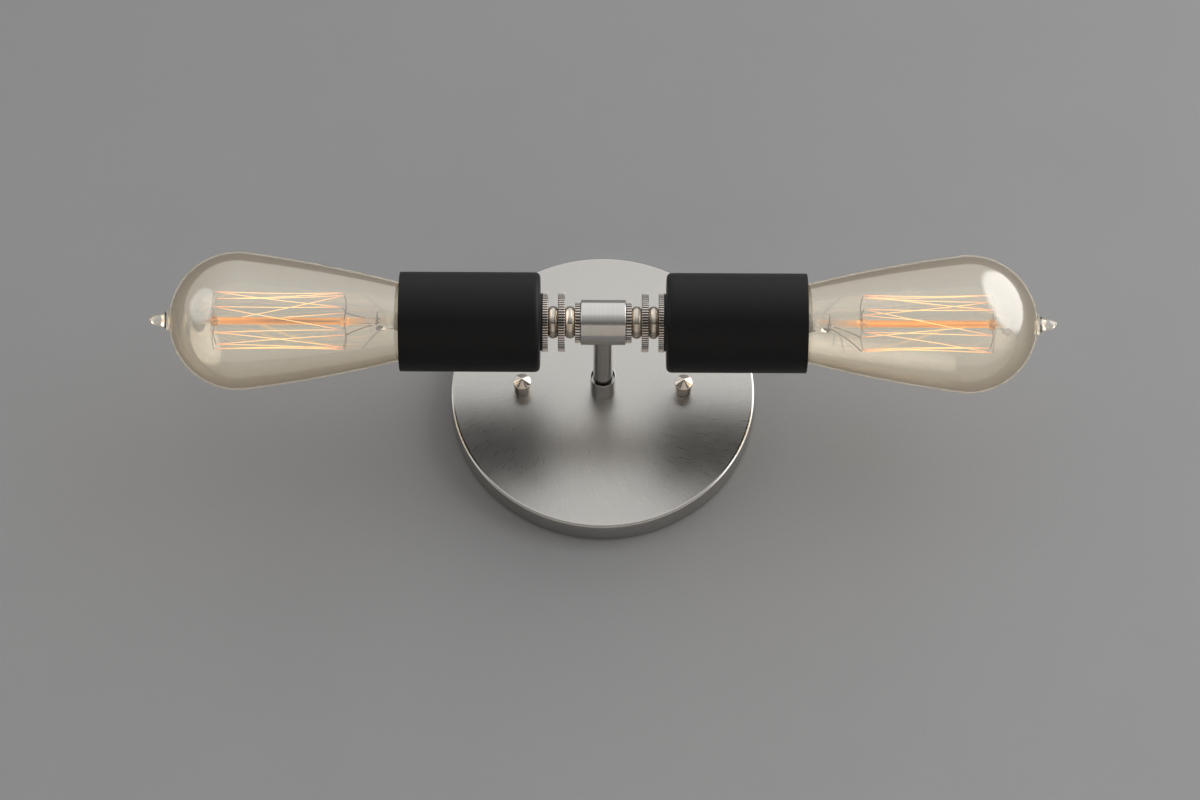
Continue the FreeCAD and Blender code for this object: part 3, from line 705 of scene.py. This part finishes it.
# Outer and inner outlines run an even wall apart, and the drawn tip is solid: it narrows to a waist, swells a
# little and ends in a quarter circle
def makeGlass(word, side):
    s = bulbSizes
    start, end, _ = armSpan("bulb_glass")
    skirtEnd = armSpan("bulb_shell")[1]
    taper, dome = bulbOutline(0, skirtEnd, s["tipFoot"])
    innerTaper, innerDome = bulbOutline(s["wall"], skirtEnd, 0.0)
    t = shares(s["tipSteps"])[1:]
    foot = dome[-1]
    waist = np.array([s["domeCentre"] + s["domeRadius"] + s["waistPlace"], s["tipWaist"]])
    knee = np.array([foot[0] + s["kneeOut"], (s["tipFoot"] + s["tipWaist"]) / 2 - s["kneeIn"]])
    drawn = curved(foot, knee, waist, t)
    shoulder = np.array([end - s["tipEnd"], s["tipEnd"]])
    rod = waist + (shoulder - waist) * t
    rod[:, 1] += s["tipSwell"] * np.sin(math.pi * t[:, 0])
    swing = t[:, 0] * math.pi / 2
    nose = shoulder + np.stack([np.sin(swing), np.cos(swing) - 1], -1) * s["tipEnd"]
    neckEnd, neckInside = skirtEnd - s["neckEnd"], s["neckRadius"] - s["wall"]
    neck = [[start, s["neckRadius"]], [neckEnd, s["neckRadius"]]]
    innerNeck = [[neckEnd, neckInside], [start, neckInside]]
    inside = np.concatenate([innerNeck[::-1], innerTaper, innerDome])[::-1]
    section = np.concatenate([neck, taper, dome, drawn, rod, nose, inside])
    piece = meshObject("bulb_envelope_" + word, [onArm(turnedGrid(section, s["steps"]), side)], sharpAngle=60)
    dress(piece, "amber_glass", word + "_bulb", "bulb_glass_" + word)


threadSizes = {"pitch": 3.629, "offset": 0.35, "radius": 12.7, "wall": 0.3, "footRadius": 6.0, "skirt": 6.8,
               "skirtRadius": 13.0, "skirtRows": 6, "rows": 90, "steps": 96}


# Reach of a circle whose centre lies a small offset away, in the direction that the helix has at x
def threadRadius(x, angle, radius):
    s = threadSizes
    turn = angle - 2 * math.pi * x / s["pitch"]
    return s["offset"] * np.cos(turn) + np.sqrt(radius ** 2 - (s["offset"] * np.sin(turn)) ** 2)


# The rolled thread fades into the plain skirt over its last half turn, and the shell has an even wall
def makeBase(word, side):
    s = threadSizes
    start, end, _ = armSpan("bulb_shell")
    last = end - s["skirt"]
    angle = roundAngles(s["steps"])
    x = np.linspace(start, last, s["rows"])[:, None]
    fade = np.clip((last - x) / (s["pitch"] / 2), 0, 1)
    outer = threadRadius(x, angle, s["radius"]) * fade + s["skirtRadius"] * (1 - fade)
    skirtX = np.linspace(last, end, s["skirtRows"])[1:, None]
    x = np.concatenate([x, skirtX])
    outer = np.concatenate([outer, s["skirtRadius"] + 0 * skirtX + 0 * angle])
    foot = s["footRadius"] + 0 * outer[:1]
    x = np.concatenate([x[:1], x, x[::-1], x[:1]])
    reach = np.concatenate([foot, outer, outer[::-1] - s["wall"], foot])
    x[-1] = x[-2] = start + s["wall"]
    piece = meshObject("bulb_base_" + word, [onArm(aroundX(x, reach, angle), side)], sharpAngle=50)
    dress(piece, "brass", word + "_bulb", "bulb_shell_" + word)


stemGlassSizes = {
    "rim": 0.5, "neck": 12.3, "flare": 11.0, "flarePower": 2.2, "wall": 0.8,
    "pinchStart": 84.0, "pinchEnd": 95.5, "pinch": 3.6, "waist": 0.2,
    "flatten": 0.55, "widen": 0.6, "pressReach": 5.5,
    "post": 1.5, "postStart": 0.4, "postCap": 0.3, "hub": 2.3, "hubHalf": 1.6,
    "hollowShort": 3, "hollowEnd": 0.5,  # rows of the flare past the hollow, and its least radius and end
    "flareRows": 24, "pinchRows": 14, "postRows": 150, "steps": 64,
}


# The hollow flare narrows to a solid pinch that is pressed flat, then a post with a round bead at each hub
def makeGlassStem(word, side):
    s = stemGlassSizes
    start = armSpan("bulb_stem")[0]
    mouth = s["flare"] - s["wall"]
    u = np.linspace(0, 1, s["flareRows"])
    flareX = start + s["rim"] + (s["pinchStart"] - start - s["rim"]) * u
    flare = s["pinch"] + (s["flare"] - s["pinch"]) * (1 - u) ** s["flarePower"]
    pinchX = np.linspace(s["pinchStart"], s["pinchEnd"], s["pinchRows"])[1:]
    pinch = s["pinch"] - s["waist"] * np.sin(np.linspace(0, math.pi, s["pinchRows"])[1:])
    postX = np.linspace(s["pinchEnd"] + s["postStart"], cageSizes["outerHub"] + s["hubHalf"], s["postRows"])
    post = s["post"] + 0 * postX
    for hub in (cageSizes["innerHub"], cageSizes["outerHub"]):
        near = np.clip(1 - ((postX - hub) / s["hubHalf"]) ** 2, 0, None)
        post += (s["hub"] - s["post"]) * np.sqrt(near)
    hollowX = flareX[:-s["hollowShort"]][::-1]
    hollow = np.clip(flare[:-s["hollowShort"]][::-1] - s["wall"], s["hollowEnd"], None)
    outer = [[start, start], flareX, pinchX, postX, [postX[-1] + s["postCap"]]]
    inner = [[hollowX[0] + s["hollowEnd"]], hollowX, [start]]
    x = np.concatenate(outer + inner)[:, None]
    r = np.concatenate([[mouth, s["neck"]], flare, pinch, post, [0.0], [0.0], hollow, [mouth]])[:, None]
    solid = np.arange(len(x))[:, None] < len(x) - len(hollowX) - 2
    middle = (s["pinchStart"] + s["pinchEnd"]) / 2
    press = np.exp(-((x - middle) / s["pressReach"]) ** 2) * s["flatten"] * solid
    angle = roundAngles(s["steps"])
    grid = np.stack([x + 0 * angle, r * (1 - press) * np.cos(angle),
                     r * (1 + press * s["widen"]) * np.sin(angle)], -1)
    piece = meshObject("bulb_glass_stem_" + word, [onArm(grid, side)], sharpAngle=60)
    dress(piece, "clear_glass", word + "_bulb", "bulb_stem_" + word)


cageSizes = {
    "radius": 12.4, "hooks": 7, "innerHub": 109.0, "outerHub": 163.5,
    "filament": 0.14, "droop": 0.5, "strandSteps": 17,
    "hookWire": 0.2, "rootShare": 0.12, "hookBow": 0.8, "hookSteps": 14,
    "leadWire": 0.3, "leadRoot": 1.0, "kneeBack": 5.0, "kneeShare": 0.55, "leadSteps": 18,
    "wireSides": 6,
}


def cageRing(place, count, turn):
    return aroundX(place, cageSizes["radius"], 2 * math.pi * (np.arange(count) + turn) / count)


# The filament zigzags from one lead's end to the other, round a hook at each turn. Each strand bows inwards
def makeFilament(word, side, outer, inner):
    s = cageSizes
    stops = [inner[0]]
    for far, near in zip(outer, inner[1:]):
        stops += [far, near]
    t = shares(s["strandSteps"])[:-1]
    strands = []
    for a, b in zip(stops, stops[1:]):
        centre = (a + b) / 2 * np.array([0, 1, 1])
        bow = centre / np.linalg.norm(centre) * s["droop"] * np.sin(math.pi * t)
        strands.append(a + (b - a) * t - bow)
    line = np.concatenate(strands + [stops[-1:]])
    grid = onArm(tubeAlong(line, s["filament"], s["wireSides"]), side)
    piece = meshObject("filament_cage_" + word, [grid], wrapRows=False, sharpAngle=180)
    dress(piece, "glowing_filament", word + "_bulb", "bulb_filament_" + word)


# Each hook is an arm from its hub that bows away from the cage's middle. The two leads rise from the pinch on
# parabolas to the filament's ends
def makeHooks(word, side, outer, inner):
    s = cageSizes
    grids = []
    t = shares(s["hookSteps"])
    for hub, points, away in ((s["outerHub"], outer, 1), (s["innerHub"], inner[1:-1], -1)):
        for point in points:
            root = np.array([hub, 0, 0]) + (point - [hub, 0, 0]) * s["rootShare"]
            arm = root + (point - root) * t
            arm[:, 0] += np.sin(math.pi * t[:, 0]) * s["hookBow"] * away
            grids.append(onArm(tubeAlong(arm, s["hookWire"], s["wireSides"]), side))
    rootX = stemGlassSizes["pinchEnd"] - s["leadRoot"]
    kneeX = s["innerHub"] - s["kneeBack"]
    for end in (inner[0], inner[-1]):
        root = np.array([rootX, *end[1:] * s["rootShare"]])
        knee = np.array([kneeX, *end[1:] * s["kneeShare"]])
        lead = curved(root, knee, end, shares(s["leadSteps"]))
        grids.append(onArm(tubeAlong(lead, s["leadWire"], s["wireSides"]), side))
    piece = meshObject("filament_hooks_" + word, grids, wrapRows=False, sharpAngle=180)
    dress(piece, "support_wire", word + "_bulb", "bulb_supports_" + word)


canopyFinish()
turnedFinish("brushed_nickel_tee", teeLooks)
turnedFinish("brushed_nickel_stem", stemLooks)
polishedFinish()
knurledFinish("knurled_nickel_large", "outer_knurled_nut")
knurledFinish("knurled_nickel_small", "small_knurled_nut")
paintFinish()
for name, looks in plainLooks.items():
    plainFinish(name, *looks)
glassFinish("amber_glass", amberGlass, amberCoat)
glassFinish("clear_glass", clearGlass, paintedPostLight)
glowFinish()
print("finishes made:", len(finishes))

makeCanopy()
makeCapNuts()
makeStem()
makeTee()
for word, side in sides.items():
    makeKnurledNuts(word, side)
    makeBeads(word, side)
    makeCup(word, side)
    makeGlass(word, side)
    makeBase(word, side)
    makeGlassStem(word, side)
    outerRing = cageRing(cageSizes["outerHub"], cageSizes["hooks"], 0.5)
    innerRing = cageRing(cageSizes["innerHub"], cageSizes["hooks"] + 1, 0)
    makeFilament(word, side, outerRing, innerRing)
    makeHooks(word, side, outerRing, innerRing)
print("pieces made")

# Nodes that keep their own shape, on both arms where a node has no plain name
kept = {
    "mounting_strap": "zinc_plate", "strap_studs": "zinc_plate", "stud_jam_nuts": "zinc_plate",
    "ground_screw": "green_screw", "canopy_nipple": "zinc_plate", "nipple_lock_washer": "zinc_plate",
    "nipple_hex_nut": "zinc_plate", "wire_connectors": "orange_connector", "arm_nipple": "zinc_plate",
    "cup_lock_nut": "zinc_plate", "socket_cap": "porcelain", "socket_body": "porcelain",
    "screw_shell": "brass", "centre_contact": "brass", "terminal_screws": "brass",
    "hot_lead": "black_insulation", "neutral_lead": "white_insulation", "bulb_contact": "solder",
    "bulb_insulator": "black_glass",
}
for node, finish in kept.items():
    for name in (node, node + "_right", node + "_left"):
        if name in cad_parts:
            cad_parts[name].data.materials.clear()
            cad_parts[name].data.materials.append(finishes[finish])
print("kept nodes finished:", len(kept), "kinds")


stageSizes = {"halfWidth": 3.0, "height": 3.0, "floorDrop": 0.42, "floorDepth": 0.56, "gap": 0.0006}
stageLooks = {
    "wallLight": rgb(0.262, 0.264, 0.268), "wallDark": rgb(0.244, 0.246, 0.250),
    "floorLight": rgb(0.56, 0.52, 0.48), "floorDark": rgb(0.53, 0.49, 0.45),
    "mottle": 14.0, "grain": 700.0, "roughness": 0.7, "spread": 0.1, "relief": 0.0001, "bump": 0.5,
}


# Plain paint with a faint mottle, seen from its front only
def stageFinish(name, light, dark):
    s = stageLooks
    made = newFinish(name)
    mottle = made.noise(made.place(), s["mottle"], 4.0, 0.6)
    grain = made.noise(made.place(), s["grain"], 3.0, 0.6)
    paint = made.principled(Base_Color=made.between(mottle, light, dark),
                            Roughness=grain * s["spread"] + s["roughness"],
                            Normal=made.bump(grain, s["relief"], s["bump"]))
    clear = made.node("ShaderNodeBsdfTransparent")
    back = made.node("ShaderNodeNewGeometry", output="Backfacing")
    made.show(made.node("ShaderNodeMixShader", None, {0: back, 1: paint, 2: clear}))


def stagePlane(name, corners, finish):
    mesh = bpy.data.meshes.new(name)
    mesh.from_pydata(corners, [], [(0, 1, 2, 3)])
    mesh.materials.append(finishes[finish])
    plane = bpy.data.objects.new(name, mesh)
    bpy.context.scene.collection.objects.link(plane)


def makeStage():
    s = stageSizes
    stageFinish("stage_grey", stageLooks["wallLight"], stageLooks["wallDark"])
    stageFinish("stage_pale", stageLooks["floorLight"], stageLooks["floorDark"])
    w, y, z, front = s["halfWidth"], s["gap"], -s["floorDrop"], s["gap"] - s["floorDepth"]
    stagePlane("stage_wall", [(-w, y, z), (w, y, z), (w, y, s["height"]), (-w, y, s["height"])], "stage_grey")
    stagePlane("stage_floor", [(-w, front, z), (w, front, z), (w, y, z), (-w, y, z)], "stage_pale")


lampEdge = 3.0  # how much steeper than a cone a lamp falls off at its edge
lamps = {
    # name: (place, width, height, watts)
    "softbox": ((1.15, -0.55, 0.50), 2.3, 2.7, 30.0),
    "leftFill": ((-1.15, -0.75, 0.15), 1.2, 1.3, 3.0),
}
roomLooks = {
    # brightness seen by height, from straight down, 0, to straight up, 1
    "steps": ((0.0, 0.15), (0.2, 0.15), (0.28, 0.22), (0.38, 0.42), (0.52, 0.62), (0.64, 1.0), (1.0, 1.1)),
    "leftSteepness": 1.6, "leftLoss": 0.25, "backdrop": 0.80,
    "strength": 2.0,  # a ramp holds no more than 1, so brightness is divided by this in it
}


# The room is darker to the left, and low in front, where the camera stands. Camera and glass rays see an even
# pale backdrop
def makeRoom():
    s = roomLooks
    world = bpy.data.worlds.new("room")
    world.use_nodes = True
    made = Nodes(world.node_tree, "ShaderNodeOutputWorld")
    x, y, z = made.parts(made.node("ShaderNodeTexCoord", output="Generated"))
    level = made.ramp(z * 0.5 + 0.5, [(place, grey(bright / s["strength"])) for place, bright in s["steps"]])
    left = made.held(x * -s["leftSteepness"]) * s["leftLoss"]
    room = made.between(left, level, grey(0.0))
    path = made.node("ShaderNodeLightPath", output="Is Camera Ray")
    seen = Value(made, path.socket.node.outputs["Is Transmission Ray"])
    tone = made.between(made.maths("MAXIMUM", path, seen), room, grey(s["backdrop"] / s["strength"]))
    made.show(made.node("ShaderNodeBackground", None, {"Color": tone, "Strength": s["strength"]}))
    bpy.context.scene.world = world


# Brightness of a soft box over its face: full in the middle, falling smoothly, as 3 f^2 - 2 f^3, to nothing
# at its edge
def softenLamp(data):
    data.use_nodes = True
    made = Nodes(data.node_tree, "ShaderNodeOutputLight")
    across, up, _ = made.parts(made.node("ShaderNodeNewGeometry", output="Parametric"))
    across, up = (across - 0.5) * 2.0, (up - 0.5) * 2.0
    fall = made.held((1 - made.maths("SQRT", across * across + up * up)) * lampEdge)
    made.show(made.node("ShaderNodeEmission", None, {"Strength": fall * fall * (3 - fall * 2.0)}))


def makeLamps():
    for name, (place, width, height, watts) in lamps.items():
        data = bpy.data.lights.new(name, "AREA")
        data.shape, data.size, data.size_y, data.energy = "ELLIPSE", width, height, watts
        softenLamp(data)
        lamp = bpy.data.objects.new(name, data)
        lamp.location = place
        lamp.rotation_mode = "QUATERNION"
        lamp.rotation_quaternion = (Vector((0, lampY * mm, 0)) - Vector(place)).to_track_quat("-Z", "Y")
        lamp.visible_camera = False
        bpy.context.scene.collection.objects.link(lamp)


camera = {
    "frame": (1200, 800), "focalPixels": 4040.0, "teePixel": (603.3, 322.5),
    "distance": 1.699,               # metres
    "pitch": 27.25, "roll": 0.28,    # degrees
    "sensor": 36.0,                  # millimetres
}


# Looks up at the tee, which stays on the pixel where the photograph has it
def makeCamera():
    width, height = camera["frame"]
    pitch, roll = math.radians(camera["pitch"]), math.radians(camera["roll"])
    ahead = Vector((0, math.cos(pitch), math.sin(pitch)))
    right, up = Vector((1, 0, 0)), Vector((0, -math.sin(pitch), math.cos(pitch)))
    right, up = right * math.cos(roll) + up * math.sin(roll), up * math.cos(roll) - right * math.sin(roll)
    perPixel = camera["distance"] / camera["focalPixels"]
    x = (camera["teePixel"][0] - width / 2) * perPixel
    y = (height / 2 - camera["teePixel"][1]) * perPixel
    tee = Vector((0, lampY * mm, 0))
    data = bpy.data.cameras.new("camera")
    data.sensor_width = camera["sensor"]
    data.lens = camera["focalPixels"] / width * camera["sensor"]
    view = bpy.data.objects.new("camera", data)
    bpy.context.scene.collection.objects.link(view)
    turn = Matrix((right, up, -ahead)).transposed().to_4x4()
    view.matrix_world = Matrix.Translation(tee - ahead * camera["distance"] - right * x - up * y) @ turn
    bpy.context.scene.camera = view


makeStage()
makeRoom()
makeLamps()
makeCamera()
bpy.context.scene.view_settings.view_transform = "Standard"
print("stage, lamps and camera set")
